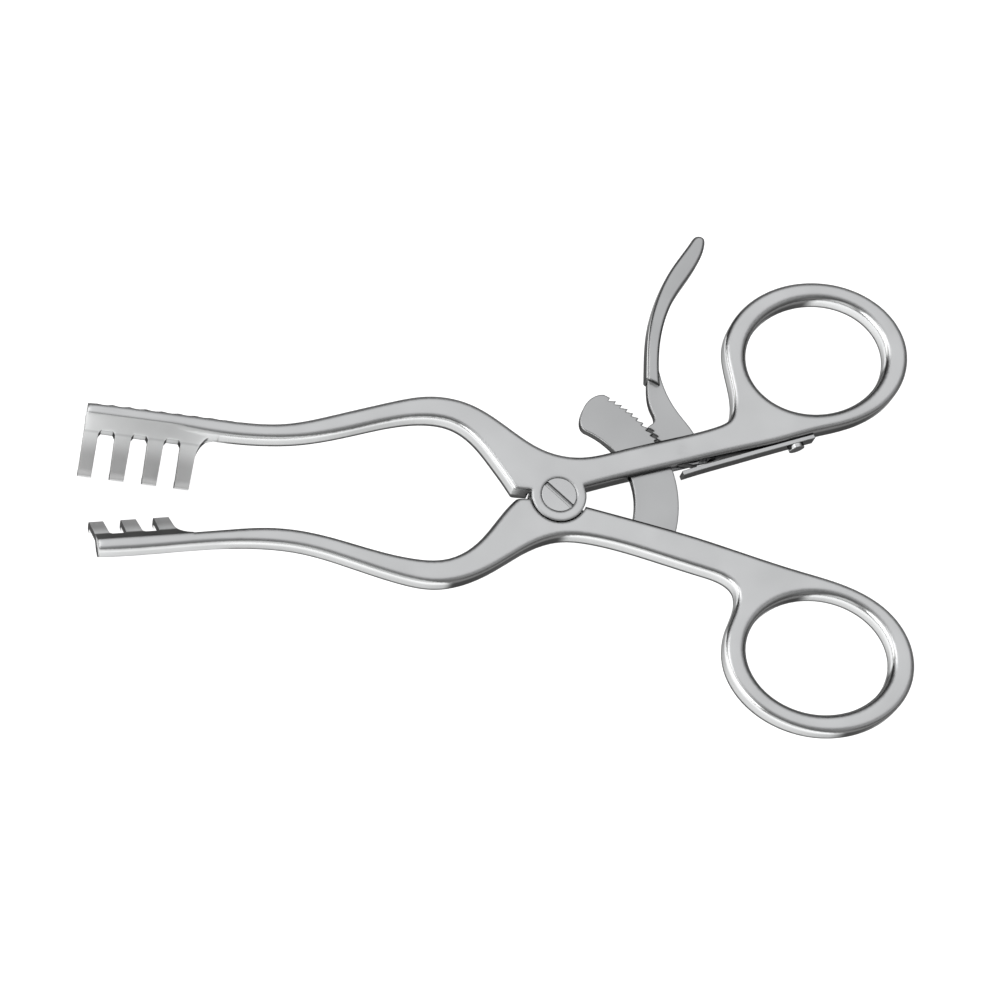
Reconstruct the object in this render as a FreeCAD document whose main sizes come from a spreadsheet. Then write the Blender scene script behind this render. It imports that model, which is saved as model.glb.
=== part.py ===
import FreeCAD, Part
import math
import os
import Sketcher

# Self retaining retractor: a four prong arm and a three prong arm on one
# screw joint, each ending in a finger ring, held apart by a curved ratchet
# bar and a sprung release lever.
# Origin on the joint axis in the flush front faces, +X to the rings,
# +Y to the four prong arm, +Z out of the front faces, prongs point down.

os.makedirs("parts", exist_ok=True)
doc = FreeCAD.newDocument("retractor")

# Driving dimensions in millimetres and degrees
SIZES = [
    ("joint_thickness", 5.4),
    ("ring_thickness", 5.1),
    ("blade_thickness", 4.9),
    ("edge_round", 0.95),
    ("eye_round", 1.45),
    ("hub_radius", 5.35),
    ("running_gap", 0.3),
    ("shaft_gap", 0.05),
    ("hub_depth", 2.6),
    ("head_radius", 3.4),
    ("head_depth", 1.3),
    ("shank_radius", 1.9),
    ("slot_width", 0.9),
    ("slot_depth", 0.7),
    ("slot_angle", -45.0),
    ("ring_length", 37.4),
    ("ring_width", 30.8),
    ("hole_length", 28.6),
    ("hole_width", 23.8),
    ("prong_width", 2.5),
    ("prong_pitch", 6.25),
    ("prong_slope", 56.5),
    ("prong_reach", 7.3),
    ("prong_thickness", 1.4),
    ("tip_bend", 3.5),
    ("tip_turn", 66.0),
    ("slot_root", 2.0),
    ("root_round", 3.2),
    ("scallop_pitch", 3.15),
    ("scallop_depth", 0.38),
    ("scallop_radius", 3.6),
    ("bar_inner", 15.3),
    ("bar_outer", 23.8),
    ("bar_top", 1.6),
    ("bar_thickness", 2.0),
    ("bar_end_angle", 70.0),
    ("bar_foot_angle", -27.0),
    ("tooth_pitch", 3.3),
    ("tooth_depth", 0.75),
    ("first_tooth", 14.0),
    ("rivet_radius", 0.9),
    ("lever_pin_radius", 1.0),
    ("rivet_spacing", 4.1),
    ("rivet_cover", 0.9),
    ("lever_pin_offset", 3.12),
    ("lever_pin_angle", 20.0),
    ("lever_pin_cover", 0.6),
    ("thumb_thickness", 4.2),
    ("thumb_round", 0.7),
    ("pawl_gap", 0.08),
    ("pawl_depth", 0.6),
    ("spring_thickness", 0.85),
    ("spring_width", 3.0),
    ("spring_top", 1.15),
    ("spring_screw_radius", 1.6),
    ("spring_screw_grip", 2.6),
    ("spring_head_depth", 0.9),
]
sheet = doc.addObject("Spreadsheet::Sheet", "Sizes")
for row, (alias, number) in enumerate(SIZES, start=1):
    sheet.set(f"A{row}", alias)
    sheet.set(f"B{row}", str(number))
    sheet.setAlias(f"B{row}", alias)
doc.recompute()


def size(alias):
    """Value of one driving dimension."""
    return float(sheet.get(alias))


def point(x, y):
    return FreeCAD.Vector(x, y, 0)


def turned(x, y, degrees):
    """Point (x, y) turned about the origin."""
    a = math.radians(degrees)
    return x * math.cos(a) - y * math.sin(a), x * math.sin(a) + y * math.cos(a)


def polar(radius, degrees):
    return turned(radius, 0.0, degrees)


def new_body(label):
    body = doc.addObject("PartDesign::Body", label)
    body.Label = label
    return body


def new_sketch(body, name, role, lift=0.0, spot=(0.0, 0.0, 0.0), turn=0.0):
    """Sketch on an origin plane of its own body, moved along and in it."""
    plane = [f for f in body.Origin.OriginFeatures if f.Role == role][0]
    sketch = body.newObject("Sketcher::SketchObject", name)
    sketch.AttachmentSupport = [(plane, "")]
    sketch.MapMode = "FlatFace"
    sketch.AttachmentOffset = FreeCAD.Placement(
        FreeCAD.Vector(spot[0], spot[1], spot[2] + lift),
        FreeCAD.Rotation(FreeCAD.Vector(0, 0, 1), turn),
    )
    return sketch


def add_runs(sketch, runs, joined=True):
    """Closed outline: two points make a line, more a curve, or an arc on the axis."""
    first = sketch.GeometryCount
    for run in runs:
        if run[0] == "arc":
            circle = Part.Circle(point(0, 0), FreeCAD.Vector(0, 0, 1), run[1])
            edge = Part.ArcOfCircle(circle, math.radians(run[2]), math.radians(run[3]))
        elif len(run) == 2:
            edge = Part.LineSegment(point(*run[0]), point(*run[1]))
        else:
            edge = Part.BSplineCurve()
            edge.interpolate([point(*p) for p in run])
        sketch.addGeometry(edge, False)
    last = sketch.GeometryCount - 1
    if last == first or not joined:
        return
    for i in range(first, last + 1):
        follower = first if i == last else i + 1
        sketch.addConstraint(Sketcher.Constraint("Coincident", i, 2, follower, 1))


def add_polygon(sketch, corners):
    closed = list(corners) + [corners[0]]
    add_runs(sketch, [[a, b] for a, b in zip(closed, closed[1:])])


def add_circle(sketch, radius, x=0.0, y=0.0):
    """Circle whose radius follows a cell of the sheet or an expression."""
    i = sketch.addGeometry(Part.Circle(point(x, y), FreeCAD.Vector(0, 0, 1), 1.0), False)
    n = sketch.addConstraint(Sketcher.Constraint("Radius", i, 1.0))
    sketch.setExpression(f"Constraints[{n}]", radius)


def pad(body, sketch, length, name, down=True):
    feature = body.newObject("PartDesign::Pad", name)
    feature.Profile = sketch
    feature.setExpression("Length", length)
    feature.Reversed = down
    return feature


def pocket(body, sketch, name, length=None, both=False, up=False):
    """Cut down from the sketch, up from it, or right through both ways."""
    feature = body.newObject("PartDesign::Pocket", name)
    feature.Profile = sketch
    if length is None:
        feature.Type = "ThroughAll"
    else:
        feature.setExpression("Length", length)
    if both:
        feature.SideType = "Symmetric"
    feature.Reversed = up
    return feature


def round_edges(body, radius, name, wanted):
    """Fillet on the edges of the body's tip that the test picks."""
    doc.recompute()
    base = body.Tip
    names = [f"Edge{i}" for i, e in enumerate(base.Shape.Edges, start=1) if wanted(e)]
    feature = body.newObject("PartDesign::Fillet", name)
    feature.Base = (base, names)
    feature.setExpression("Radius", radius)
    return feature


def upright(edge):
    """True for an edge that runs straight along Z."""
    box = edge.BoundBox
    return box.XLength < 0.01 and box.YLength < 0.01


def by_ring(centre, tilt, shares):
    """Points given in half lengths and half widths of a finger ring."""
    points = []
    for along, across in shares:
        x, y = turned(size("ring_length") / 2 * along, size("ring_width") / 2 * across, tilt)
        points.append((centre[0] + x, centre[1] + y))
    return points


def ring_run(centre, tilt, start, end, steps):
    """Points along a finger ring's outer edge between two of its own angles."""
    angles = [math.radians(start + (end - start) * i / steps) for i in range(steps + 1)]
    return by_ring(centre, tilt, [(math.cos(a), math.sin(a)) for a in angles])


def on_eye(edge, middle):
    """True for a closed rim about the middle of a finger ring's hole."""
    near = (edge.BoundBox.Center - middle).Length < 8
    return near and edge.Length > 2 * size("hole_width")


def back_cut(body, name):
    """Thin the back of an arm towards its blade and its ring."""
    full = -size("joint_thickness")
    ring = -size("ring_thickness")
    blade = -size("blade_thickness")
    low = 2 * full
    profile = [(-100, blade), (-72, blade), (-40, (full + blade) / 2), (-16, full * 0.99)]
    profile += [(8, full * 1.02), (26, full), (44, ring * 1.02), (80, ring)]
    sketch = new_sketch(body, name + "_profile", "XZ_Plane")
    add_runs(sketch, [
        profile,
        [(80, ring), (80, low)],
        [(80, low), (-100, low)],
        [(-100, low), (-100, blade)],
    ])
    return pocket(body, sketch, name, both=True)


def arm(label, outline, centre, tilt):
    """Rounded arm with its finger ring, before the joint is cut."""
    body = new_body(label)
    plan = new_sketch(body, label + "_plan", "XY_Plane")
    add_runs(plan, outline)
    pad(body, plan, "Sizes.joint_thickness", label + "_bar")
    back_cut(body, label + "_back")
    eye = new_sketch(body, label + "_eye_plan", "XY_Plane")
    far = turned(size("hole_length") / 2, 0.0, tilt)
    side = turned(0.0, size("hole_width") / 2, tilt)
    middle = point(*centre)
    eye.addGeometry(Part.Ellipse(middle + point(*far), middle + point(*side), middle), False)
    pocket(body, eye, label + "_eye")
    eye_wall = "(Sizes.ring_{0} - Sizes.hole_{0}) / 2 - Sizes.edge_round - 0.4"
    limits = "; ".join(eye_wall.format(way) for way in ("length", "width"))
    round_edges(body, f"min(Sizes.eye_round; {limits})", label + "_eye_rounding",
                lambda e: on_eye(e, middle))
    round_edges(body, "Sizes.edge_round", label + "_rounding",
                lambda e: not upright(e) and e.Length > 12 and not on_eye(e, middle))
    return body


# Outline of the four prong arm: outer side, ring, underside, joint, inner side
UPPER_RING = (53.9, 29.6)
UPPER_TILT = 5.6
upper_outer = [(-89.5, 18.75), (-83.5, 18.2), (-77.8, 17.4), (-66.5, 15.8), (-56.9, 14.6), (-51.5, 14.7)]
upper_outer += [(-43.4, 16.3), (-31.6, 19.2), (-23.8, 20.4), (-16.0, 18.8), (-8.5, 13.7), (-2.0, 9.3)]
upper_outer += [(4.8, 7.9), (12.8, 9.4), (25.0, 12.3)]
upper_neck = by_ring(UPPER_RING, UPPER_TILT, [(-1.213, -0.847), (-1.073, -0.773), (-1.006, -0.611)])
upper_ring = ring_run(UPPER_RING, UPPER_TILT, 190, -78, 10)
upper_under = by_ring(UPPER_RING, UPPER_TILT, [(-0.214, -1.051), (-0.586, -1.131), (-1.032, -1.2)])
upper_under += [(24.3, 6.4), (12.2, 3.5), (4.7, 1.5)]
upper_inner = [(-8.8, 1.4), (-10.4, 4.2), (-12.3, 7.2), (-15.9, 12.1), (-19.6, 14.8), (-24.5, 15.8)]
upper_inner += [(-29.4, 15.5), (-39.2, 13.4), (-49.0, 11.6), (-56.7, 11.4), (-68.1, 12.7), (-77.0, 14.7)]
upper_inner += [(-89.8, 16.7)]
upper_outline = [
    upper_outer + upper_neck + upper_ring + upper_under,
    [(4.7, 1.5), (3.4, 3.6)],
    [(3.4, 3.6), (-3.4, 3.6)],
    [(-3.4, 3.6), (-4.6, 1.1)],
    [(-4.6, 1.1), (-8.8, 1.4)],
    upper_inner,
    [(-89.8, 16.7), (-89.5, 18.75)],
]
# Outline of the three prong arm in the same order
LOWER_RING = (48.7, -32.7)
LOWER_TILT = -9.0
lower_outer = [(-88.3, -11.2), (-79.4, -10.75), (-67.1, -9.75), (-57.0, -9.7), (-50.0, -10.6)]
lower_outer += [(-40.6, -13.5), (-31.2, -16.7), (-25.5, -17.8), (-19.6, -17.1), (-11.7, -13.5)]
lower_outer += [(-5.6, -10.0), (0.4, -8.3), (6.3, -8.8), (17.8, -12.1)]
lower_neck = [(-1.265, 0.894), (-1.05, 0.83), (-0.933, 0.721), (-0.907, 0.562)]
lower_neck = by_ring(LOWER_RING, LOWER_TILT, lower_neck)
lower_ring = ring_run(LOWER_RING, LOWER_TILT, 167, 433, 10)
lower_upper = by_ring(LOWER_RING, LOWER_TILT, [(-0.277, 1.084), (-0.811, 1.198)])
lower_upper += [(27.0, -8.7), (13.9, -4.7), (4.9, -2.1)]
lower_inner = [(-8.4, -0.8), (-10.0, -2.3), (-13.8, -6.8), (-17.9, -10.7), (-22.8, -12.8), (-28.6, -12.7)]
lower_inner += [(-36.2, -10.9), (-44.6, -8.3), (-52.2, -6.7), (-57.0, -6.4), (-64.5, -6.8)]
lower_inner += [(-76.0, -7.75), (-88.5, -8.75)]
lower_outline = [
    lower_outer + lower_neck + lower_ring + lower_upper,
    [(4.9, -2.1), (3.6, -4.0)],
    [(3.6, -4.0), (-3.4, -3.6)],
    [(-3.4, -3.6), (-4.6, -0.9)],
    [(-4.6, -0.9), (-8.4, -0.8)],
    lower_inner,
    [(-88.5, -8.75), (-88.3, -11.2)],
]


def blade_section():
    """Half hook section of a blade: reach inward along x, depth along y."""
    slope = size("prong_slope")
    thick = size("prong_thickness")
    reach = size("prong_reach")
    bend = size("tip_bend")
    depth = reach * math.tan(math.radians(slope))
    bottom = -size("blade_thickness") + 0.3

    def shifted(u, v, degrees, out):
        a = math.radians(degrees)
        return u - out * math.sin(a), v - out * math.cos(a)

    front = []
    back = []
    steps = 4
    for i in range(steps + 1):
        along = slope + size("tip_turn") * i / steps
        a = math.radians(along)
        s = math.radians(slope)
        u = reach + bend * (math.sin(a) - math.sin(s))
        v = -depth - bend * (math.cos(s) - math.cos(a))
        front.append((u, v))
        back.append(shifted(u, v, along, thick * (1.0 - 0.2 * i / steps)))
    root = shifted(0.0, 0.0, slope, thick)
    fall = root[1] - bottom
    low = (root[0] + fall / math.tan(math.radians(slope)), bottom)
    return [
        [(-0.9, -0.02), (0.0, -0.02)],
        [(0.0, -0.02), front[0]],
        front,
        [front[-1], back[-1]],
        back[::-1],
        [back[0], low],
        [low, (-0.9, bottom)],
        [(-0.9, bottom), (-0.9, -0.02)],
    ]


def add_blade(body, label, corner, heading, prongs, side, shoulder):
    """Slotted blade with hooked prongs, its front crease starting at the corner."""
    width = size("prong_width")
    pitch = size("prong_pitch")
    span = (prongs - 1) * pitch + width
    corner_round = size("root_round")
    plane = [f for f in body.Origin.OriginFeatures if f.Role == "YZ_Plane"][0]
    section = body.newObject("Sketcher::SketchObject", label + "_section")
    section.AttachmentSupport = [(plane, "")]
    section.MapMode = "FlatFace"
    swing = FreeCAD.Rotation(FreeCAD.Vector(0, 1, 0), heading)
    section.AttachmentOffset = FreeCAD.Placement(FreeCAD.Vector(corner[1], 0, corner[0]), swing)
    add_runs(section, [[(side * u, v) for u, v in run] for run in blade_section()])
    plate = body.newObject("PartDesign::Pad", label)
    plate.Profile = section
    plate.setExpression("Length", f"Sizes.prong_pitch * {prongs - 1} + Sizes.prong_width + Sizes.root_round")
    doc.recompute()

    flare = 0.3
    far = size("prong_reach") + 6.0
    centre = (width + pitch) / 2
    tip_half = (pitch - width) / 2
    root_half = tip_half - flare
    root = size("slot_root")
    soft = 0.45
    gap = new_sketch(body, label + "_gap_plan", "XY_Plane", 0.0, (corner[0], corner[1], 0.0), heading)
    left = centre - root_half
    right = centre + root_half
    corners = [(centre - tip_half, far), (left, root + soft), (left + soft, root)]
    corners += [(right - soft, root), (right, root + soft), (centre + tip_half, far)]
    add_polygon(gap, [(u, side * v) for u, v in corners])
    notch = pocket(body, gap, label + "_gap", both=True)
    row = body.newObject("PartDesign::LinearPattern", label + "_gaps")
    row.Originals = [notch]
    row.Direction = (gap, ["H_Axis"])
    row.setExpression("Length", f"Sizes.prong_pitch * {prongs - 2}")
    row.Occurrences = prongs - 1
    body.Tip = row
    doc.recompute()

    edge = span + flare
    relief = new_sketch(body, label + "_end_plan", "XY_Plane", 0.0, (corner[0], corner[1], 0.0), heading)
    curve = []
    for i in range(7):
        a = math.radians(180 + 90 * i / 6)
        u = edge + corner_round + corner_round * math.cos(a)
        v = shoulder + corner_round + corner_round * math.sin(a)
        curve.append((u, side * v))
    stop = edge + corner_round + 0.6
    add_runs(relief, [
        [(span, side * far), curve[0]],
        curve,
        [curve[-1], (stop, side * shoulder)],
        [(stop, side * shoulder), (stop, side * far)],
        [(stop, side * far), (span, side * far)],
    ])
    pocket(body, relief, label + "_end", both=True)


def drill(body, name, radius, x, y, lift, length=None):
    """Round hole down from a depth, through the back unless a length is given."""
    sketch = new_sketch(body, name + "_plan", "XY_Plane", lift)
    add_circle(sketch, radius, x, y)
    return pocket(body, sketch, name, length)


# Joint of the four prong arm: hub disc, bore and head seat
four = arm("four_prong_arm", upper_outline, (53.8, 29.2), 13.0)
drill(four, "four_lap", "Sizes.hub_radius + Sizes.running_gap", 0, 0, -size("hub_depth"))
disc = new_sketch(four, "hub_plan", "XY_Plane")
add_circle(disc, "Sizes.hub_radius")
pad(four, disc, "Sizes.hub_depth", "hub")
drill(four, "pivot_bore", "Sizes.shank_radius + Sizes.shaft_gap", 0, 0, 0.0)
drill(four, "head_seat", "Sizes.head_radius + Sizes.shaft_gap", 0, 0, 0.0,
      "Sizes.head_depth + Sizes.shaft_gap")

# Mortise through the arm for the ratchet bar and the lever
PIN = polar(size("bar_outer") + size("lever_pin_offset"), size("lever_pin_angle"))
cavity = new_sketch(four, "mortise_plan", "XY_Plane", size("running_gap") - size("bar_top"))
start = polar(size("bar_inner") - size("running_gap"), -5)
end = polar(size("bar_inner") - size("running_gap"), 60)
add_runs(cavity, [
    ["arc", size("bar_inner") - size("running_gap"), -5, 60],
    [end, (14.0, 20.0)],
    [(14.0, 20.0), (PIN[0] + 5.2, 20.0)],
    [(PIN[0] + 5.2, 20.0), (PIN[0] + 5.2, 2.0)],
    [(PIN[0] + 5.2, 2.0), start],
])
pocket(four, cavity, "mortise", "Sizes.bar_thickness + 2 * Sizes.running_gap")
drill(four, "lever_pin_hole", "Sizes.lever_pin_radius", PIN[0], PIN[1], -size("lever_pin_cover"))

# Four prong blade and the scalloped grip on its back
add_blade(four, "four_blade", (-89.85, 16.65), -7.9, 4, -1, 0.95)
wave = new_sketch(four, "scallop_plan", "XY_Plane", 0.0, (-86.4, 18.5, 0.0), -7.55)
add_circle(wave, "Sizes.scallop_radius", 0.0, size("scallop_radius") - size("scallop_depth"))
dent = pocket(four, wave, "scallop", both=True)
dents = four.newObject("PartDesign::LinearPattern", "scallops")
dents.Originals = [dent]
dents.Direction = (wave, ["H_Axis"])
dents.setExpression("Length", "Sizes.scallop_pitch * 8")
dents.Occurrences = 9
four.Tip = dents

# Threaded hole for the screw of the leaf spring
SPRING_TILT = 15.7
SPRING_MID = size("spring_top") + size("spring_width") / 2
spring_seat = by_ring(UPPER_RING, UPPER_TILT, [
    (-0.187, -1.054), (-0.395, -1.098), (-0.586, -1.14), (-0.811, -1.189), (-1.035, -1.24)])
SPRING_SCREW = spring_seat[1]


def tilted_sketch(body, name, along=0.0):
    """Sketch across the spring screw's axis, moved along that axis."""
    plane = [f for f in body.Origin.OriginFeatures if f.Role == "XZ_Plane"][0]
    sketch = body.newObject("Sketcher::SketchObject", name)
    sketch.AttachmentSupport = [(plane, "")]
    sketch.MapMode = "FlatFace"
    dx, dy = turned(0.0, -along, SPRING_TILT)
    spot = FreeCAD.Vector(SPRING_SCREW[0] + dx, -SPRING_MID, -(SPRING_SCREW[1] + dy))
    swing = FreeCAD.Rotation(FreeCAD.Vector(0, 1, 0), SPRING_TILT)
    sketch.AttachmentOffset = FreeCAD.Placement(spot, swing)
    return sketch


thread = tilted_sketch(four, "spring_thread_plan", 2.0)
add_circle(thread, "Sizes.spring_screw_radius / 2")
pocket(four, thread, "spring_thread", "5.0")

# Joint of the three prong arm: round recess and tongue disc
three = arm("three_prong_arm", lower_outline, (48.6, -32.4), -5.0)
drill(three, "three_lap", "Sizes.hub_radius + Sizes.running_gap", 0, 0, 0.0,
      "Sizes.hub_depth + Sizes.running_gap")
tongue = new_sketch(three, "tongue_plan", "XY_Plane", -size("hub_depth") - size("running_gap"))
add_circle(tongue, "Sizes.hub_radius")
pad(three, tongue, "Sizes.joint_thickness - Sizes.hub_depth - Sizes.running_gap", "tongue")
drill(three, "pivot_thread", "Sizes.shank_radius", 0, 0, 0.0)
add_blade(three, "three_blade", (-88.55, -8.9), 3.9, 3, 1, 0.5)


def sector(inner, outer, start, end):
    """Plain piece of a ring round the joint axis."""
    return [
        ["arc", outer, start, end],
        [polar(outer, end), polar(inner, end)],
        ["arc", inner, start, end],
        [polar(inner, start), polar(outer, start)],
    ]


# Slot for the foot of the ratchet bar, and its two blind rivet holes
FOOT = size("bar_foot_angle")
seat = new_sketch(three, "foot_slot_plan", "XY_Plane", -size("bar_top"))
add_runs(seat, sector(size("bar_inner"), size("bar_outer"), FOOT, FOOT + 24), joined=False)
pocket(three, seat, "foot_slot", "Sizes.bar_thickness")
bar_middle = (size("bar_inner") + size("bar_outer")) / 2
RIVETS = [polar(bar_middle + side * size("rivet_spacing") / 2, FOOT + 2.6) for side in (-1, 1)]
for number, spot in enumerate(RIVETS, start=1):
    drill(three, f"rivet_hole_{number}", "Sizes.rivet_radius", spot[0], spot[1], -size("rivet_cover"))

# Ratchet bar: curved flat bar with saw teeth on its outer edge
bar = new_body("ratchet_bar")
TOP = size("bar_end_angle")
inner = size("bar_inner")
outer = size("bar_outer")
width = outer - inner
cap = [(1.0, -6.5), (0.93, -4.2), (0.74, -0.9), (0.49, 0.9), (0.25, 0.9), (0.06, -1.5), (0.0, -5.0)]
plan = new_sketch(bar, "bar_plan", "XY_Plane", -size("bar_top"))
add_runs(plan, [
    ["arc", outer, FOOT, TOP + cap[0][1]],
    [polar(inner + share * width, TOP + angle) for share, angle in cap],
    ["arc", inner, FOOT, TOP + cap[-1][1]],
    [polar(inner, FOOT), polar(outer, FOOT)],
], joined=False)
pad(bar, plan, "Sizes.bar_thickness", "bar_plate")
for number, spot in enumerate(RIVETS, start=1):
    drill(bar, f"bar_rivet_hole_{number}", "Sizes.rivet_radius", spot[0], spot[1], 0.0)
first = size("first_tooth")
pitch = size("tooth_pitch")
depth = size("tooth_depth")
cut = new_sketch(bar, "tooth_plan", "XY_Plane")
add_polygon(cut, [polar(outer + 0.4, first), polar(outer, first), polar(outer - depth, first + pitch),
                  polar(outer + 0.4, first + pitch)])
tooth = pocket(bar, cut, "tooth")
teeth = bar.newObject("PartDesign::PolarPattern", "teeth")
teeth.Originals = [tooth]
teeth.Axis = (cut, ["N_Axis"])
teeth.Angle = pitch * 13
teeth.Occurrences = 14
bar.Tip = teeth

# Rivets that hold the foot of the bar, flush with the back of the arm
for number, spot in enumerate(RIVETS, start=1):
    rivet = new_body(f"ratchet_rivet_{number}")
    plan = new_sketch(rivet, f"rivet_plan_{number}", "XY_Plane", -size("rivet_cover"))
    add_circle(plan, "Sizes.rivet_radius", spot[0], spot[1])
    pad(rivet, plan, "Sizes.joint_thickness - Sizes.rivet_cover", f"rivet_shank_{number}")

# Joint screw: slotted flush head, shank held in the three prong arm
screw = new_body("joint_screw")
plan = new_sketch(screw, "head_plan", "XY_Plane")
add_circle(plan, "Sizes.head_radius")
pad(screw, plan, "Sizes.head_depth", "head")
plan = new_sketch(screw, "shank_plan", "XY_Plane")
add_circle(plan, "Sizes.shank_radius")
pad(screw, plan, "Sizes.joint_thickness", "shank")
half = size("slot_width") / 2
reach = size("head_radius") + 1.0
plan = new_sketch(screw, "slot_plan", "XY_Plane", 0.0, (0.0, 0.0, 0.0), size("slot_angle"))
add_polygon(plan, [(-reach, -half), (reach, -half), (reach, half), (-reach, half)])
pocket(screw, plan, "slot", "Sizes.slot_depth")

# Release lever: flat plate with the pawl teeth and a thick thumb bar
lever = new_body("release_lever")
near = outer + size("pawl_gap")
far = near + size("pawl_depth")
PAWL_START = 37.6
pawl = []
for i in range(3):
    pawl += [polar(far, PAWL_START - pitch * i), polar(near, PAWL_START - pitch * i)]
pawl.append(polar(far, PAWL_START - pitch * 3))


def from_pin(*offsets):
    """Points given as offsets from the lever's pin."""
    return [(PIN[0] + x, PIN[1] + y) for x, y in offsets]


plate_left = from_pin((-4.4, 20.8), (-5.5, 15.8), (-5.8, 12.3), (-5.3, 9.0), (-4.8, 7.4)) + [pawl[0]]
plate_low = [pawl[-1]] + from_pin((-2.7, 0.4), (-2.0, -1.3), (-0.8, -2.2), (0.9, -2.3), (2.0, -2.45))
plate_right = from_pin((3.1, -2.25), (3.6, -1.2), (3.6, 1.3), (2.7, 4.0), (0.2, 7.9), (-1.7, 11.4),
                       (-2.9, 15.3), (-3.4, 20.8))
plan = new_sketch(lever, "plate_plan", "XY_Plane", -size("bar_top"))
add_runs(plan, [plate_left]
         + [[a, b] for a, b in zip(pawl, pawl[1:])]
         + [plate_low, [plate_low[-1], plate_right[0]], plate_right, [plate_right[-1], plate_left[0]]])
pad(lever, plan, "Sizes.bar_thickness", "lever_plate")
drill(lever, "lever_bore", "Sizes.lever_pin_radius + Sizes.shaft_gap", PIN[0], PIN[1], 0.0)
thumb_left = from_pin((-6.0, 15.4), (-5.6, 19.6), (-4.7, 25.7), (-2.7, 32.0), (0.5, 38.1), (3.8, 42.5))
thumb_tip = from_pin((5.3, 44.5), (6.6, 45.7), (7.9, 45.4), (8.0, 43.7), (7.3, 41.7))
thumb_right = from_pin((4.2, 36.8), (0.8, 32.0), (-1.5, 27.0), (-2.9, 21.3), (-3.4, 14.0))
high = (size("thumb_thickness") - size("bar_thickness")) / 2 - size("bar_top")
deep = high - size("thumb_thickness")
plan = new_sketch(lever, "thumb_plan", "XY_Plane", high)
add_runs(plan, [thumb_left + thumb_tip + thumb_right, [thumb_right[-1], thumb_left[0]]])
pad(lever, plan, "Sizes.thumb_thickness", "thumb_bar")


def level_at(edge, height):
    """True for an edge that lies flat at a height."""
    return abs(edge.BoundBox.ZMin - height) + abs(edge.BoundBox.ZMax - height) < 0.01


round_edges(lever, "Sizes.thumb_round", "thumb_rounding", lambda e: e.Length > 6 and (
    level_at(e, high) or level_at(e, deep)))

# Pin of the lever, held in the four prong arm
pin = new_body("lever_pin")
plan = new_sketch(pin, "pin_plan", "XY_Plane", -size("lever_pin_cover"))
add_circle(plan, "Sizes.lever_pin_radius", PIN[0], PIN[1])
pad(pin, plan, "Sizes.joint_thickness - Sizes.lever_pin_cover", "pin_shank")

# Leaf spring under the four prong arm, pressing the heel of the lever
spring = new_body("leaf_spring")
top_line = spring_seat + from_pin((4.7, -2.35), (-0.3, -3.9))
nx, ny = turned(0.0, -size("spring_thickness"), SPRING_TILT)
low_line = [(x + nx, y + ny) for x, y in top_line]
plan = new_sketch(spring, "spring_plan", "XY_Plane", -size("spring_top"))
add_runs(plan, [top_line, [top_line[-1], low_line[-1]], low_line[::-1], [low_line[0], top_line[0]]])
pad(spring, plan, "Sizes.spring_width", "spring_leaf")
hole = tilted_sketch(spring, "spring_hole_plan", 3.0)
add_circle(hole, "Sizes.spring_screw_radius / 2")
pocket(spring, hole, "spring_hole", "5.0")

# Screw of the leaf spring
fastener = new_body("spring_screw")
plan = tilted_sketch(fastener, "spring_shank_plan", size("spring_thickness"))
add_circle(plan, "Sizes.spring_screw_radius / 2")
pad(fastener, plan, "Sizes.spring_thickness + Sizes.spring_screw_grip", "spring_screw_shank")
plan = tilted_sketch(fastener, "spring_head_plan", size("spring_thickness"))
add_circle(plan, "Sizes.spring_screw_radius")
pad(fastener, plan, "Sizes.spring_head_depth", "spring_screw_head", down=False)

doc.recompute()

for thing in doc.Objects:
    if "Invalid" in thing.State or "Error" in thing.State:
        raise RuntimeError(f"{thing.Name} failed: {thing.State}")
bodies = [thing for thing in doc.Objects if thing.TypeId == "PartDesign::Body"]
for body in bodies:
    if body.Shape.isNull() or not body.Shape.isValid() or len(body.Shape.Solids) != 1:
        raise RuntimeError(f"{body.Label} is not one valid solid")
for body in bodies:
    body.Shape.exportStep(f"parts/{body.Label}.step")
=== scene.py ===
"""Self-retaining retractor: finishes, small fittings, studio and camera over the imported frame."""
import logging
import math
from dataclasses import dataclass
from enum import Enum
from functools import cache
from typing import Any

import bpy
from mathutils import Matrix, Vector


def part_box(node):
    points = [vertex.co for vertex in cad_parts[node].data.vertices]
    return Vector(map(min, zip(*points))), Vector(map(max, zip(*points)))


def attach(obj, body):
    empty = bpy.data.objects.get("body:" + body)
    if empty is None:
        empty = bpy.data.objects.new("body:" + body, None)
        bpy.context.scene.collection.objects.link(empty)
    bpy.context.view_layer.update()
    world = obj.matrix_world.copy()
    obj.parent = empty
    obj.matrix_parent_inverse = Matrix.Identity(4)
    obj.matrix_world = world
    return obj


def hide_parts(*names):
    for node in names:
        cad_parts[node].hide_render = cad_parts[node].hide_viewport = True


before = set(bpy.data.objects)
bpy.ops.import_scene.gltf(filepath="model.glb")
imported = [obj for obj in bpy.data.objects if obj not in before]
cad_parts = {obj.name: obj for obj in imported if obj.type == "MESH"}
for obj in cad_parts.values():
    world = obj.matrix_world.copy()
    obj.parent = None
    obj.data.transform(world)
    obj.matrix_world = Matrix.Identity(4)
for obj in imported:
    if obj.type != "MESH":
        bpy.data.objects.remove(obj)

LOG = logging.getLogger("retractor")
MM = 0.001
Triple = tuple[float, float, float]


def linear(code: str) -> tuple[float, float, float, float]:
    """Turn an sRGB hex colour into linear light.

    Args:
        code: six hex digits.

    Returns:
        Red, green, blue and an alpha of one.
    """
    shares = (int(code[i:i + 2], 16) / 255 for i in (0, 2, 4))
    return (*(s / 12.92 if s <= 0.04045 else ((s + 0.055) / 1.055) ** 2.4 for s in shares), 1.0)


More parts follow.
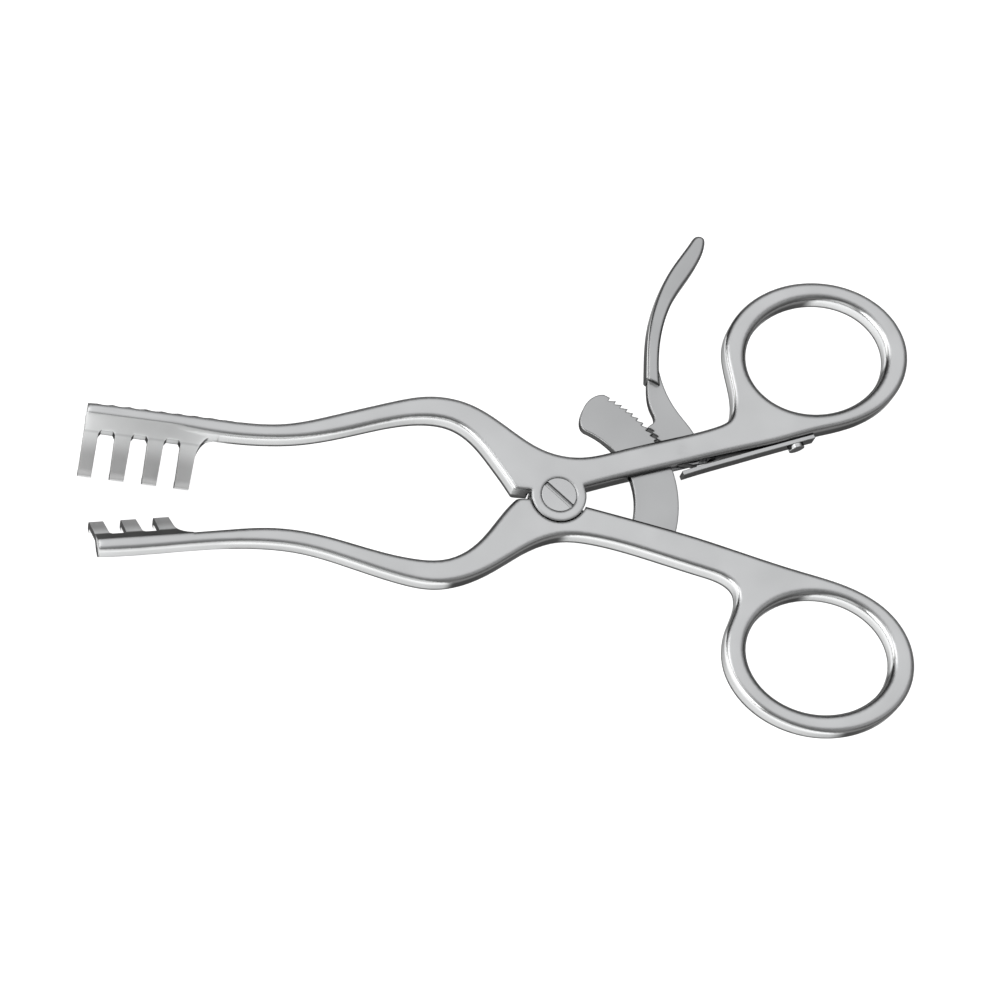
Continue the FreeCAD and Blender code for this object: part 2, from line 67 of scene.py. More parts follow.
def add_node(tree: bpy.types.NodeTree, kind: str, feeds: dict[str | int, Any] | None = None,
             **settings: Any) -> bpy.types.Node:
    """Add one node with its settings, its values and its links.

    Args:
        tree: the tree that gets the node.
        kind: the node's Blender type.
        feeds: for an input's name or number, an output to link or a plain value.
        settings: the node's own properties.

    Returns:
        The new node.
    """
    node = tree.nodes.new(kind)
    for name, value in settings.items():
        setattr(node, name, value)
    for key, value in (feeds or {}).items():
        if isinstance(value, bpy.types.NodeSocket):
            tree.links.new(value, node.inputs[key])
        else:
            node.inputs[key].default_value = value
    return node


class Grain(Enum):
    """How a steel surface was worked last: how much finer its marks are along X, Y and Z."""

    BLASTED = (1.0, 1.0, 1.0)
    GROUND = (1.0, 14.0, 14.0)
    TURNED = (3.0, 3.0, 3.0)


@dataclass(frozen=True)
class BladeZone:
    """Where the blades and their prongs lie, in mm along the axes, and their own tones.

    The blades were blasted before they were slotted, so their walls are duller than the arms'. The
    sides of the prongs get painted shade, darker than their fronts, and their tips a painted
    highlight.
    """

    start_x: float = -62.0
    full_x: float = -66.0
    outlined_x: float = -64.0
    bend_z: float = -3.0
    prong_z: float = -4.0
    slot_top_z: float = -1.8
    slot_z: float = -2.6
    fade_top_z: float = -3.5
    fade_low_z: float = -8.5
    tip_top_z: float = -12.8
    tip_z: float = -13.2
    side_from: float = 0.3
    side_full: float = 0.55
    edge_mm: float = 0.3
    roughness: float = 0.42
    front: str = "B8B8B8"
    prong_side_shade: str = "5A5A5A"
    tip_highlight: str = "F4F4F4"


@dataclass(frozen=True)
class WallLightZone:
    """Where the side walls get painted light and painted shade.

    Ahead of the joint the arms are slim, and the painted light covers more of their walls there:
    middle_x, end_mm and full_mm give that stretch and its half lengths, and gain how much. A wall
    is painted from shaded to lit as the cosine of its angle to one fixed direction rises between
    two levels. A recess is told by its share of open room and gets painted shade, and the two fades
    soften the painted shade at the rim and the foot of a wall.
    """

    middle_x: float = -60.0
    end_mm: float = 42.0
    full_mm: float = 30.0
    gain: float = 0.2
    shade_level: float = 0.47
    lit_level: float = 0.62
    recess: float = 0.58
    open_sky: float = 0.85
    rim_fade: float = 0.2
    foot_fade_mm: float = 0.7


@dataclass(frozen=True)
class Skin:
    """What a finish reads at each point of a surface.

    The sockets hold shares from nothing to one, and normals that are rounded near an edge.
    """

    tree: bpy.types.NodeTree
    coords: bpy.types.Node
    spot: bpy.types.Node
    on_blade: bpy.types.NodeSocket
    on_prong: bpy.types.NodeSocket
    edge_normal: bpy.types.NodeSocket
    crown_normal: bpy.types.NodeSocket
    edge_lean: bpy.types.Node
    crown_lean: bpy.types.Node
    facing: bpy.types.NodeSocket


@dataclass(frozen=True)
class SteelFinish:
    """Stainless steel with a satin face and polished side walls that carry painted light and shade.

    The forward faces are satin, so they hold one even pale grey. The side walls get a painted lit
    tone where they face one fixed direction, towards the tips and the lower side, and a painted
    shade tone where they turn away from it, at their lower edges, in recesses and at their foot.
    That direction and back are directions in the object's frame, and the leans are the share of Z
    in a normal at which a wall ends and a face begins. Every finish below paints its walls this
    way.
    """

    name: str
    face: str
    painted_lit_wall: str
    painted_shade_wall: str
    face_roughness: float
    wall_roughness: float
    grain: Grain
    grain_mm: float
    grain_height_mm: float
    edge_mm: float
    rim_mm: float
    # The lower rims below this lean, and the walls below this depth, get painted shade.
    shaded_rim_lean: float = -0.02
    shaded_foot_mm: float = 99.0
    crowning: float = 0.3
    cloud_mm: float = 13.0
    recess_mm: float = 3.0
    # Direction that the walls with painted light face.
    lit_side: Triple = (-0.8, -0.6, 0.0)
    back: Triple = (0.19, 0.34, -0.92)
    back_from: float = 0.02
    back_full: float = 0.18
    edge_tint: float = 0.27
    wall_lean: float = 0.76
    face_lean: float = 0.97
    cloud_dark: float = 0.92
    cloud_light: float = 1.03
    gloss_change: float = 0.01
    bump_strength: float = 0.15
    noise_low: float = 0.3
    noise_high: float = 0.7
    wall_light: WallLightZone = WallLightZone()
    blade: BladeZone = BladeZone()

    def read(self, tree: bpy.types.NodeTree) -> Skin:
        """Read where each point lies and which way the rounded surface leans there.

        Args:
            tree: the material's tree.

        Returns:
            The readings that the tones share.
        """
        zone = self.blade
        coords = add_node(tree, "ShaderNodeTexCoord")
        spot = add_node(tree, "ShaderNodeSeparateXYZ", {0: coords.outputs["Object"]})
        on_blade = add_node(tree, "ShaderNodeMapRange",
                            {"Value": spot.outputs["X"], "From Min": zone.start_x * MM,
                             "From Max": zone.full_x * MM})
        under = add_node(tree, "ShaderNodeMapRange",
                         {"Value": spot.outputs["Z"], "From Min": zone.bend_z * MM,
                          "From Max": zone.prong_z * MM}, interpolation_type="SMOOTHSTEP")
        on_prong = add_node(tree, "ShaderNodeMath",
                            {0: on_blade.outputs[0], 1: under.outputs[0]},
                            operation="MULTIPLY")
        radius = add_node(tree, "ShaderNodeMapRange",
                          {"Value": on_prong.outputs[0], "To Min": self.edge_mm * MM,
                           "To Max": zone.edge_mm * MM})
        edge = add_node(tree, "ShaderNodeBevel", {"Radius": radius.outputs[0]}, samples=6)
        crown = add_node(tree, "ShaderNodeBevel", {"Radius": self.rim_mm * MM}, samples=8)
        leans = []
        for rounded in (edge, crown):
            turned = add_node(tree, "ShaderNodeVectorTransform", {0: rounded.outputs[0]},
                              vector_type="NORMAL", convert_from="WORLD",
                              convert_to="OBJECT")
            leans.append(add_node(tree, "ShaderNodeSeparateXYZ", {0: turned.outputs[0]}))
        level = add_node(tree, "ShaderNodeMath", {0: leans[0].outputs["Z"]},
                         operation="ABSOLUTE")
        facing = add_node(tree, "ShaderNodeMapRange",
                          {"Value": level.outputs[0], "From Min": self.wall_lean,
                           "From Max": self.face_lean}, interpolation_type="SMOOTHSTEP")
        return Skin(tree, coords, spot, on_blade.outputs[0], on_prong.outputs[0],
                    edge.outputs[0], crown.outputs[0], *leans, facing.outputs[0])

    def painted_wall_light(self, skin: Skin) -> bpy.types.NodeSocket:
        """Work out the painted light and painted shade on each wall.

        Args:
            skin: the readings of the surface.

        Returns:
            Nothing where the wall gets painted shade to one where it gets painted light.
        """
        tree, zone = skin.tree, self.wall_light
        towards = add_node(tree, "ShaderNodeVectorMath",
                           {0: skin.coords.outputs["Normal"], 1: self.lit_side},
                           operation="DOT_PRODUCT")
        # Along the slim arms ahead of the joint the painted light covers more of the walls.
        along = add_node(tree, "ShaderNodeMath",
                         {0: skin.spot.outputs["X"], 1: -zone.middle_x * MM},
                         operation="ADD")
        along = add_node(tree, "ShaderNodeMath", {0: along.outputs[0]}, operation="ABSOLUTE")
        slim_arm_light = add_node(tree, "ShaderNodeMapRange",
                           {"Value": along.outputs[0], "From Min": zone.end_mm * MM,
                            "From Max": zone.full_mm * MM, "To Min": 0.0,
                            "To Max": zone.gain}, interpolation_type="SMOOTHSTEP")
        lit_level = add_node(tree, "ShaderNodeMath",
                           {0: towards.outputs["Value"], 1: slim_arm_light.outputs[0]},
                           operation="ADD")
        product = add_node(tree, "ShaderNodeMapRange",
                           {"Value": lit_level.outputs[0], "From Min": zone.shade_level,
                            "From Max": zone.lit_level}, interpolation_type="SMOOTHSTEP")
        # Lower rims, recesses and the foot of the wall get painted shade.
        rim = add_node(tree, "ShaderNodeMapRange",
                       {"Value": skin.crown_lean.outputs["Z"], "From Min": self.shaded_rim_lean,
                        "From Max": self.shaded_rim_lean - zone.rim_fade, "To Min": 1.0,
                        "To Max": skin.on_blade}, interpolation_type="SMOOTHSTEP")
        room = add_node(tree, "ShaderNodeAmbientOcclusion",
                        {"Distance": self.recess_mm * MM}, samples=6)
        clear = add_node(tree, "ShaderNodeMapRange",
                         {"Value": room.outputs["AO"], "From Min": zone.recess,
                          "From Max": zone.open_sky, "To Min": skin.on_blade},
                         interpolation_type="SMOOTHSTEP")
        foot = add_node(tree, "ShaderNodeMapRange",
                        {"Value": skin.spot.outputs["Z"], "From Min": -self.shaded_foot_mm * MM,
                         "From Max": (zone.foot_fade_mm - self.shaded_foot_mm) * MM},
                        interpolation_type="SMOOTHSTEP")
        for share in (rim, clear, foot):
            product = add_node(tree, "ShaderNodeMath",
                               {0: product.outputs[0], 1: share.outputs[0]},
                               operation="MULTIPLY")
        return product.outputs[0]

    def prong_tone(self, skin: Skin, wall: bpy.types.NodeSocket) -> bpy.types.NodeSocket:
        """Tone the prongs: fading downwards from the painted lit wall tone, with a painted
        highlight at the tips and painted shade on the sides.

        Args:
            skin: the readings of the surface.
            wall: the tone that the walls have so far.

        Returns:
            The walls' tone with the prongs in it.
        """
        tree, zone = skin.tree, self.blade
        fade = add_node(tree, "ShaderNodeMapRange",
                        {"Value": skin.spot.outputs["Z"], "From Min": zone.fade_top_z * MM,
                         "From Max": zone.fade_low_z * MM}, interpolation_type="SMOOTHSTEP")
        front = add_node(tree, "ShaderNodeMix",
                         {0: fade.outputs[0], 6: linear(self.painted_lit_wall),
                          7: linear(zone.front)}, data_type="RGBA")
        # Painted highlight at the prongs' tips.
        shank = add_node(tree, "ShaderNodeMapRange",
                         {"Value": skin.spot.outputs["Z"], "From Min": zone.tip_z * MM,
                          "From Max": zone.tip_top_z * MM})
        front = add_node(tree, "ShaderNodeMix",
                         {0: shank.outputs[0], 6: linear(zone.tip_highlight), 7: front.outputs[2]},
                         data_type="RGBA")
        fronted = add_node(tree, "ShaderNodeMix",
                           {0: skin.on_prong, 6: wall, 7: front.outputs[2]},
                           data_type="RGBA")
        # Painted shade on the prongs' sides below the slots.
        sideways = add_node(tree, "ShaderNodeMath", {0: skin.edge_lean.outputs["X"]},
                            operation="ABSOLUTE")
        sideways = add_node(tree, "ShaderNodeMath",
                            {0: sideways.outputs[0], 1: skin.edge_lean.outputs["Z"]},
                            operation="SUBTRACT")
        low = add_node(tree, "ShaderNodeMapRange",
                       {"Value": skin.spot.outputs["Z"], "From Min": zone.slot_top_z * MM,
                        "From Max": zone.slot_z * MM})
        side_shade = add_node(tree, "ShaderNodeMapRange",
                       {"Value": sideways.outputs[0], "From Min": zone.side_from,
                        "From Max": zone.side_full, "To Min": 0.0,
                        "To Max": low.outputs[0]}, interpolation_type="SMOOTHSTEP")
        side_shade = add_node(tree, "ShaderNodeMapRange",
                       {"Value": skin.spot.outputs["X"], "From Min": zone.start_x * MM,
                        "From Max": zone.outlined_x * MM, "To Min": 0.0,
                        "To Max": side_shade.outputs[0]})
        return add_node(tree, "ShaderNodeMix",
                        {0: side_shade.outputs[0], 6: fronted.outputs[2],
                         7: linear(zone.prong_side_shade)}, data_type="RGBA").outputs[2]

    def tone(self, skin: Skin) -> bpy.types.NodeSocket:
        """Lay the face's tone over the walls' painted light and shade, and spread it over the satin
        back.

        Args:
            skin: the readings of the surface.

        Returns:
            The steel's colour.
        """
        tree = skin.tree
        # The walls get painted shade and painted light between these two tones.
        wall = add_node(tree, "ShaderNodeMix",
                        {0: self.painted_wall_light(skin), 6: linear(self.painted_shade_wall),
                         7: linear(self.painted_lit_wall)}, data_type="RGBA")
        tone = add_node(tree, "ShaderNodeMix",
                        {0: skin.facing, 6: self.prong_tone(skin, wall.outputs[2]),
                         7: linear(self.face)}, data_type="RGBA")
        backwards = add_node(tree, "ShaderNodeVectorMath",
                             {0: skin.coords.outputs["Normal"], 1: self.back},
                             operation="DOT_PRODUCT")
        behind = add_node(tree, "ShaderNodeMapRange",
                          {"Value": backwards.outputs["Value"],
                           "From Min": self.back_from, "From Max": self.back_full},
                          interpolation_type="SMOOTHSTEP")
        tone = add_node(tree, "ShaderNodeMix",
                        {0: behind.outputs[0], 6: tone.outputs[2], 7: linear(self.face)},
                        data_type="RGBA")
        # Polishing by hand leaves soft clouds about a thumb's width across.
        cloud = add_node(tree, "ShaderNodeTexNoise",
                         {"Vector": skin.coords.outputs["Object"],
                          "Scale": 1 / (self.cloud_mm * MM), "Detail": 2.0})
        shade = add_node(tree, "ShaderNodeMapRange",
                         {"Value": cloud.outputs["Fac"], "From Min": self.noise_low,
                          "From Max": self.noise_high, "To Min": self.cloud_dark,
                          "To Max": self.cloud_light})
        return add_node(tree, "ShaderNodeVectorMath",
                        {0: tone.outputs[2], "Scale": shade.outputs[0]},
                        operation="SCALE").outputs[0]

    def texture(self, skin: Skin) -> tuple[bpy.types.NodeSocket, bpy.types.NodeSocket]:
        """Give the steel its fine marks and soften its edges.

        Args:
            skin: the readings of the surface.

        Returns:
            The roughness and the normal.
        """
        tree = skin.tree
        squeezed = add_node(tree, "ShaderNodeMapping",
                            {"Vector": skin.coords.outputs["Object"],
                             "Scale": self.grain.value})
        marks = add_node(tree, "ShaderNodeTexNoise",
                         {"Vector": squeezed.outputs["Vector"],
                          "Scale": 1 / (self.grain_mm * MM), "Detail": 2.0})
        dull = add_node(tree, "ShaderNodeMapRange",
                        {"Value": marks.outputs["Fac"], "From Min": self.noise_low,
                         "From Max": self.noise_high, "To Min": -self.gloss_change,
                         "To Max": self.gloss_change})
        wall = add_node(tree, "ShaderNodeMapRange",
                        {"Value": skin.on_blade, "To Min": self.wall_roughness,
                         "To Max": self.blade.roughness})
        level = add_node(tree, "ShaderNodeMapRange",
                         {"Value": skin.facing, "To Min": wall.outputs[0],
                          "To Max": self.face_roughness})
        rough = add_node(tree, "ShaderNodeMath", {0: level.outputs[0], 1: dull.outputs[0]},
                         operation="ADD")
        crowned = add_node(tree, "ShaderNodeMapRange",
                           {"Value": skin.on_prong, "To Min": self.crowning,
                            "To Max": 0.0})
        soft = add_node(tree, "ShaderNodeMix",
                        {0: crowned.outputs[0], 4: skin.edge_normal, 5: skin.crown_normal},
                        data_type="VECTOR")
        bump = add_node(tree, "ShaderNodeBump",
                        {"Height": marks.outputs["Fac"], "Strength": self.bump_strength,
                         "Distance": self.grain_height_mm * MM, "Normal": soft.outputs[1]})
        return rough.outputs[0], bump.outputs["Normal"]

    @cache
    def material(self) -> bpy.types.Material:
        """Build the procedural material, once for every piece that has the finish.

        Returns:
            The material, named for the steel and its finish.
        """
        made = bpy.data.materials.new(self.name)
        made.use_nodes = True
        tree = made.node_tree
        tree.nodes.clear()
        skin = self.read(tree)
        rough, normal = self.texture(skin)
        # The tint holds back the floor's glare, which would whiten walls seen edge on.
        steel = add_node(tree, "ShaderNodeBsdfPrincipled",
                         {"Base Color": self.tone(skin), "Metallic": 1.0,
                          "Roughness": rough, "Normal": normal,
                          "Specular Tint": (*(self.edge_tint,) * 3, 1.0)})
        add_node(tree, "ShaderNodeOutputMaterial", {"Surface": steel.outputs[0]})
        return made


# Forged stainless steel, blasted with glass beads on its faces and polished on its walls. The eye
# gets an even pale grey without streaks, and beside it a bright band of painted light on the walls
# that ends in a dark crease at each rounded edge; the walls turned away, the lower rims and the
# foot of the walls get painted shade. Bead dents are about 0.05 mm wide, and a pixel of the picture
# covers 0.2 mm, so they are drawn 0.32 mm wide.
SATIN = SteelFinish(
    "satin_stainless_steel", face="C9CACB", painted_lit_wall="E8E9E9", painted_shade_wall="717171",
    face_roughness=0.3, wall_roughness=0.16, grain=Grain.BLASTED, grain_mm=0.32,
    # The foot of the walls, deeper than 3.9 mm, gets painted shade.
    grain_height_mm=0.003, edge_mm=0.7, rim_mm=2.3, shaded_foot_mm=3.9)
# Rolled stainless plate, surface ground along its length. The eye gets a slightly darker,
# flatter grey than the arms, with crisp edges. Grit 240 leaves lines 0.06 mm apart, which are
# drawn at that spacing and 0.9 mm long.
GROUND_PLATE = SteelFinish(
    "ground_stainless_plate", face="B6B7B8", painted_lit_wall="E8E9E9", painted_shade_wall="6C6C6C",
    face_roughness=0.3, wall_roughness=0.18, grain=Grain.GROUND, grain_mm=0.9,
    # The plate's walls and lower rims get painted shade.
    grain_height_mm=0.003, edge_mm=0.35, rim_mm=0.8, shaded_rim_lean=0.42)
# Stainless bar, turned on a lathe and polished with the arm. The eye gets the same pale face with a
# fine dark ring round it, partly painted shade on its rim. Turning marks are 0.1 mm apart, drawn 1
# mm wide and shallow.
TURNED_SCREW = SteelFinish(
    "turned_stainless_screw", face="C6C7C8", painted_lit_wall="C0C1C1", painted_shade_wall="7C7C7C",
    face_roughness=0.28, wall_roughness=0.18, grain=Grain.TURNED, grain_mm=3.0,
    grain_height_mm=0.0006, edge_mm=0.2, rim_mm=0.4)
# Cold-rolled spring strip, polished along its length. The eye gets a glossier strip with a
# light upper edge. Its lines are 0.08 mm apart and 1.1 mm long.
SPRING_STRIP = SteelFinish(
    "polished_spring_strip", face="BCBDBE", painted_lit_wall="D0D0D0", painted_shade_wall="747474",
    face_roughness=0.22, wall_roughness=0.16, grain=Grain.GROUND, grain_mm=1.1,
    # The strip's walls and lower rims get painted shade.
    grain_height_mm=0.003, edge_mm=0.2, rim_mm=0.4, shaded_rim_lean=0.45)


def dress(names: tuple[str, ...], finish: SteelFinish) -> None:
    """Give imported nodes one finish.

    Args:
        names: the nodes' names.
        finish: the finish that each of their slots gets.
    """
    for name in names:
        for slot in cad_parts[name].material_slots:
            slot.material = finish.material()
        LOG.info("%s: %s", name, finish.name)


@dataclass
class RetractorArms:
    """The two ring-handled arms that meet at the joint screw."""

    finish: SteelFinish = SATIN
    names: tuple[str, ...] = ("four_prong_arm", "three_prong_arm")

    def build(self) -> None:
        """Dress both arms in the same satin steel."""
        dress(self.names, self.finish)


@dataclass
class RatchetLock:
    """The toothed bar, its thumb release and the spring that seats the pawl."""

    plate: SteelFinish = GROUND_PLATE
    strip: SteelFinish = SPRING_STRIP
    plates: tuple[str, ...] = ("ratchet_bar", "release_lever")

    def build(self) -> None:
        """Dress the bar, the lever and the leaf spring."""
        dress(self.plates, self.plate)
        dress(("leaf_spring",), self.strip)


@dataclass
class Screws:
    """The joint screw and the screw that holds the leaf spring."""

    finish: SteelFinish = TURNED_SCREW
    names: tuple[str, ...] = ("joint_screw", "spring_screw")

    def build(self) -> None:
        """Dress both screws."""
        dress(self.names, self.finish)


@dataclass
class PeenedPins:
    """Pins hammered over at the back: the bar's rivets and the lever's pivot.

    Each pin is a shank with a low domed head, set at every point of a small mesh.
    """

    body: str
    nodes: tuple[str, ...]
    name: str
    finish: SteelFinish = TURNED_SCREW
    head_overlap: float = 0.35 * MM
    head_height: float = 0.18 * MM

    @staticmethod
    @cache
    def tree() -> bpy.types.NodeTree:
        """Build the tree that sets a pin at each point, once for all pins.

        Returns:
            The tree, with an input for each size.
        """
        tree = bpy.data.node_groups.new("peened_pins", "GeometryNodeTree")
        sizes = ("Shank Radius", "Shank Length", "Head Radius", "Head Height")
        sockets = (("Points", "INPUT", "NodeSocketGeometry"),
                   *((size, "INPUT", "NodeSocketFloat") for size in sizes),
                   ("Steel", "INPUT", "NodeSocketMaterial"),
                   ("Pins", "OUTPUT", "NodeSocketGeometry"))
        for label, way, kind in sockets:
            tree.interface.new_socket(name=label, in_out=way, socket_type=kind)
        given = add_node(tree, "NodeGroupInput").outputs
        shank = add_node(tree, "GeometryNodeMeshCylinder",
                         {"Vertices": 48, "Radius": given["Shank Radius"],
                          "Depth": given["Shank Length"]})
        side = add_node(tree, "GeometryNodeSetShadeSmooth",
                        {"Geometry": shank.outputs["Mesh"],
                         "Selection": shank.outputs["Side"]})
        half = add_node(tree, "ShaderNodeMath", {0: given["Shank Length"], 1: 0.5},
                        operation="MULTIPLY")
        up = add_node(tree, "ShaderNodeCombineXYZ", {"Z": half.outputs[0]})
        raised = add_node(tree, "GeometryNodeTransform",
                          {"Geometry": side.outputs["Geometry"],
                           "Translation": up.outputs[0]})
        ball = add_node(tree, "GeometryNodeMeshUVSphere",
                        {"Segments": 48, "Rings": 24, "Radius": 1.0})
        smooth = add_node(tree, "GeometryNodeSetShadeSmooth",
                          {"Geometry": ball.outputs["Mesh"]})
        squat = add_node(tree, "ShaderNodeCombineXYZ",
                         {"X": given["Head Radius"], "Y": given["Head Radius"],
                          "Z": given["Head Height"]})
        head = add_node(tree, "GeometryNodeTransform",
                        {"Geometry": smooth.outputs["Geometry"], "Scale": squat.outputs[0]})
        pin = add_node(tree, "GeometryNodeJoinGeometry", {0: raised.outputs["Geometry"]})
        tree.links.new(head.outputs["Geometry"], pin.inputs[0])
        placed = add_node(tree, "GeometryNodeInstanceOnPoints",
                          {"Points": given["Points"], "Instance": pin.outputs["Geometry"]})
        real = add_node(tree, "GeometryNodeRealizeInstances",
                        {"Geometry": placed.outputs["Instances"]})
        clad = add_node(tree, "GeometryNodeSetMaterial",
                        {"Geometry": real.outputs["Geometry"], "Material": given["Steel"]})
        add_node(tree, "NodeGroupOutput", {"Pins": clad.outputs["Geometry"]})
        return tree

    def build(self) -> None:
        """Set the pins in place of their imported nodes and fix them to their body."""
        boxes = [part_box(node) for node in self.nodes]
        low, high = boxes[0]
        radius, length = (high[0] - low[0]) / 2, high[2] - low[2]
        centres = [((a[0] + b[0]) / 2, (a[1] + b[1]) / 2, low[2]) for a, b in boxes]
        points = bpy.data.meshes.new(self.name + "_points")
        points.from_pydata(centres, [], [])
        seed = bpy.data.objects.new(points.name, points)
        bpy.context.scene.collection.objects.link(seed)
        values = {"Shank Radius": radius, "Shank Length": length,
                  "Head Radius": radius + self.head_overlap, "Head Height": self.head_height,
                  "Steel": self.finish.material()}
        modifier = seed.modifiers.new("pins", "NODES")
        modifier.node_group = self.tree()
        for item in modifier.node_group.interface.items_tree:
            if item.name in values:
                modifier[item.identifier] = values[item.name]
        shaped = seed.evaluated_get(bpy.context.evaluated_depsgraph_get())
        pins = bpy.data.meshes.new_from_object(shaped)
        pins.name = self.name
        seed.modifiers.remove(modifier)
        bpy.data.meshes.remove(points)
        piece = bpy.data.objects.new(self.name, pins)
        bpy.context.scene.collection.objects.link(piece)
        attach(piece, self.body)
        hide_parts(*self.nodes)
        LOG.info("%s: %d pins, %d faces", self.name, len(centres), len(pins.polygons))


@dataclass(frozen=True)
class Lamp:
    """A soft lamp that looks at the joint: its place and size in metres, and its watts."""

    name: str
    place: Triple
    size: tuple[float, float]
    watts: float

    def hang(self) -> None:
        """Add the lamp to the scene."""
        data = bpy.data.lights.new(self.name, "AREA")
        data.shape = "RECTANGLE"
        data.size, data.size_y = self.size
        data.energy = self.watts
        lamp = bpy.data.objects.new(self.name, data)
        lamp.location = self.place
        lamp.rotation_euler = (-Vector(self.place)).to_track_quat("-Z", "Y").to_euler()
        bpy.context.scene.collection.objects.link(lamp)


@dataclass(frozen=True)
class Panel:
    """A pale panel of the room: its heading, its soft edge and even core in degrees."""

    heading: Triple
    edge: float
    core: float
    strength: float

    def glow(self, tree: bpy.types.NodeTree, way: bpy.types.NodeSocket,
             level: bpy.types.NodeSocket) -> bpy.types.NodeSocket:
        """Add the panel's light to the room's.

        Args:
            tree: the world's tree.
            way: the direction that is looked at.
            level: the light so far.

        Returns:
            The light with the panel's share.
        """
        aim = add_node(tree, "ShaderNodeVectorMath",
                       {0: way, 1: Vector(self.heading).normalized()},
                       operation="DOT_PRODUCT")
        share = add_node(tree, "ShaderNodeMapRange",
                         {"Value": aim.outputs["Value"],
                          "From Min": math.cos(math.radians(self.edge)),
                          "From Max": math.cos(math.radians(self.core)), "To Min": 0.0,
                          "To Max": self.strength}, interpolation_type="SMOOTHSTEP")
        return add_node(tree, "ShaderNodeMath", {0: level, 1: share.outputs[0]},
                        operation="ADD").outputs[0]


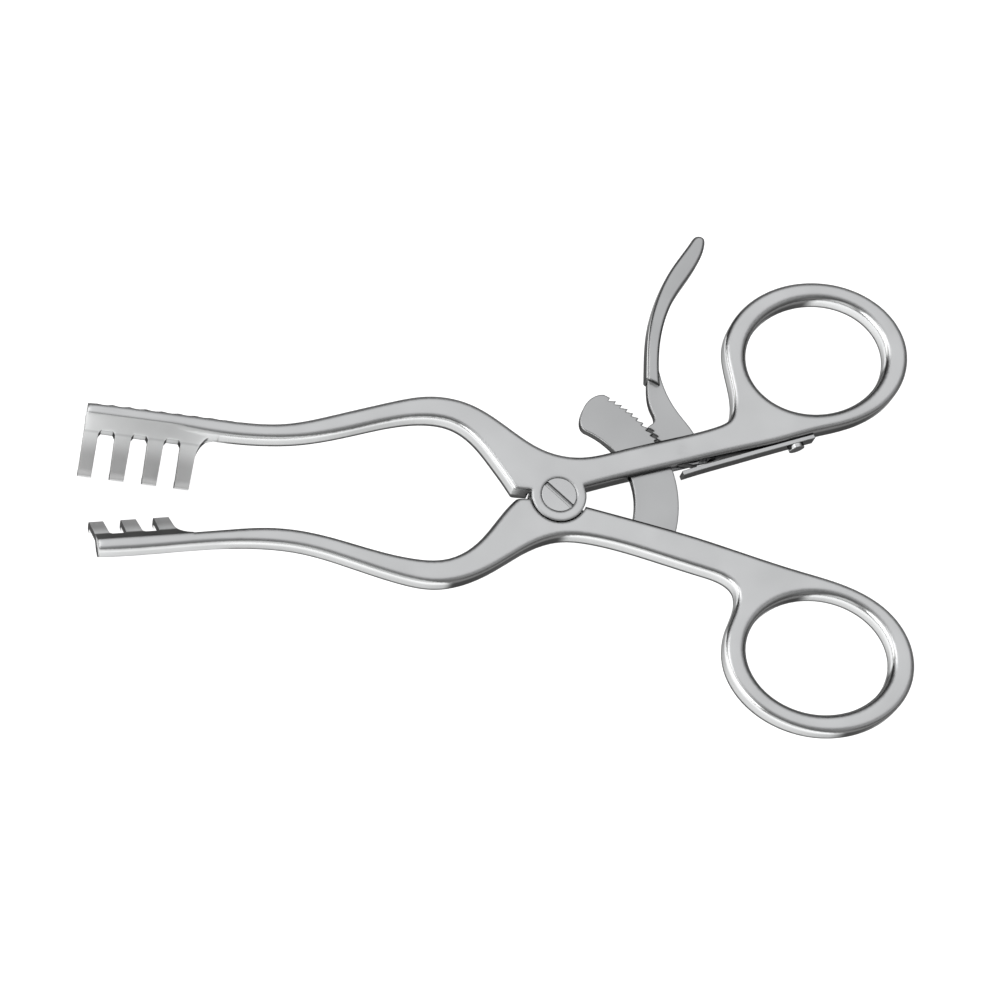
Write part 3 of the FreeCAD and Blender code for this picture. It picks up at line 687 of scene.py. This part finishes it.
@dataclass
class Studio:
    """White floor, pale room, soft lamps and a camera at the photograph's viewing angle."""

    floor_z: float = -14.9 * MM
    floor_size: float = 6.0
    paper: str = "B8B8B8"
    paper_glow: float = 0.85
    room_low: float = 0.08
    room_high: float = 0.28
    eye: Triple = (-146.91 * MM, -249.59 * MM, 673.50 * MM)
    target: Triple = (-11.62 * MM, -1.11 * MM, 0.0)
    lens_mm: float = 137.7
    lamps: tuple[Lamp, ...] = (
        Lamp("left_softbox", (-0.65, 0.30, 0.95), (0.6, 0.6), 2.0),
        Lamp("front_strip", (-0.65, -0.52, 0.36), (0.5, 0.26), 0.7))
    # Overhead, left, low front and far right.
    panels: tuple[Panel, ...] = (
        Panel((0.19, 0.40, 0.90), 38.0, 20.0, 0.74),
        Panel((-0.879, -0.103, 0.465), 41.0, 33.0, 1.3),
        Panel((-0.02, -0.97, 0.10), 36.0, 24.0, 0.5),
        Panel((0.75, -0.60, 0.25), 45.0, 25.0, 0.35))

    def lay_paper(self) -> None:
        """Lay the floor's white paper, which is clear from below."""
        half, z = self.floor_size / 2, self.floor_z
        mesh = bpy.data.meshes.new("white_floor")
        mesh.from_pydata([(-half, -half, z), (half, -half, z), (half, half, z),
                          (-half, half, z)], [], [(0, 1, 2, 3)])
        # Matt seamless paper: it keeps the object's shadow, and what looks at it straight or
        # in the steel's gloss sees it near white.
        material = bpy.data.materials.new("white_studio_paper")
        material.use_nodes = True
        tree = material.node_tree
        tree.nodes.clear()
        ray = add_node(tree, "ShaderNodeLightPath")
        seen = ray.outputs["Is Camera Ray"]
        for other in ("Is Glossy Ray", "Is Transmission Ray"):
            seen = add_node(tree, "ShaderNodeMath", {0: seen, 1: ray.outputs[other]},
                            operation="MAXIMUM").outputs[0]
        lift = add_node(tree, "ShaderNodeMath", {0: seen, 1: self.paper_glow},
                        operation="MULTIPLY")
        matt = add_node(tree, "ShaderNodeBsdfDiffuse", {"Color": linear(self.paper)})
        glow = add_node(tree, "ShaderNodeEmission", {"Strength": lift.outputs[0]})
        both = add_node(tree, "ShaderNodeAddShader", {0: matt.outputs[0], 1: glow.outputs[0]})
        side = add_node(tree, "ShaderNodeNewGeometry")
        clear = add_node(tree, "ShaderNodeBsdfTransparent")
        sheet = add_node(tree, "ShaderNodeMixShader",
                         {0: side.outputs["Backfacing"], 1: both.outputs[0],
                          2: clear.outputs[0]})
        add_node(tree, "ShaderNodeOutputMaterial", {"Surface": sheet.outputs[0]})
        mesh.materials.append(material)
        floor = bpy.data.objects.new("white_floor", mesh)
        bpy.context.scene.collection.objects.link(floor)

    def paint_room(self) -> None:
        """Make the room dim near the floor, with pale panels, and white where it is seen."""
        world = bpy.data.worlds.new("pale_room")
        world.use_nodes = True
        tree = world.node_tree
        tree.nodes.clear()
        way = add_node(tree, "ShaderNodeTexCoord").outputs["Generated"]
        height = add_node(tree, "ShaderNodeSeparateXYZ", {0: way})
        level = add_node(tree, "ShaderNodeMapRange",
                         {"Value": height.outputs["Z"], "From Min": 0.05, "From Max": 0.5,
                          "To Min": self.room_low, "To Max": self.room_high},
                         interpolation_type="SMOOTHSTEP").outputs[0]
        for panel in self.panels:
            level = panel.glow(tree, way, level)
        ray = add_node(tree, "ShaderNodeLightPath")
        level = add_node(tree, "ShaderNodeMix",
                         {0: ray.outputs["Is Camera Ray"], 2: level, 3: 1.0})
        room = add_node(tree, "ShaderNodeBackground",
                        {"Color": linear("FFFFFF"), "Strength": level.outputs[0]})
        add_node(tree, "ShaderNodeOutputWorld", {"Surface": room.outputs[0]})
        bpy.context.scene.world = world

    def stand_camera(self) -> None:
        """Stand the camera at the photograph's angle, its sides level with the floor."""
        data = bpy.data.cameras.new("photo_camera")
        data.lens = self.lens_mm
        data.sensor_width = 36.0
        data.clip_start, data.clip_end = 0.01, 20.0
        camera = bpy.data.objects.new("photo_camera", data)
        back = (Vector(self.eye) - Vector(self.target)).normalized()
        right = (Vector((1, 0, 0)) - back * back.x).normalized()
        turn = camera.matrix_world.to_3x3()
        turn.col[0], turn.col[1], turn.col[2] = right, back.cross(right), back
        camera.matrix_world = turn.to_4x4()
        camera.location = self.eye
        bpy.context.scene.collection.objects.link(camera)
        bpy.context.scene.camera = camera

    def build(self) -> None:
        """Set the whole studio."""
        self.lay_paper()
        for lamp in self.lamps:
            lamp.hang()
        self.paint_room()
        self.stand_camera()
        bpy.context.scene.view_settings.view_transform = "Standard"


def main() -> None:
    """Build the studio and dress each sub-assembly in turn."""
    logging.basicConfig(level=logging.INFO, format="%(name)s %(message)s")
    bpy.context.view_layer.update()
    for part in (Studio(), RetractorArms(), RatchetLock(), Screws(),
                 PeenedPins("lower_half", ("ratchet_rivet_1", "ratchet_rivet_2"), "bar_rivets"),
                 PeenedPins("upper_half", ("lever_pin",), "lever_pivot_pin")):
        part.build()
        LOG.info("%s done", type(part).__name__)


if __name__ == "__main__":
    main()
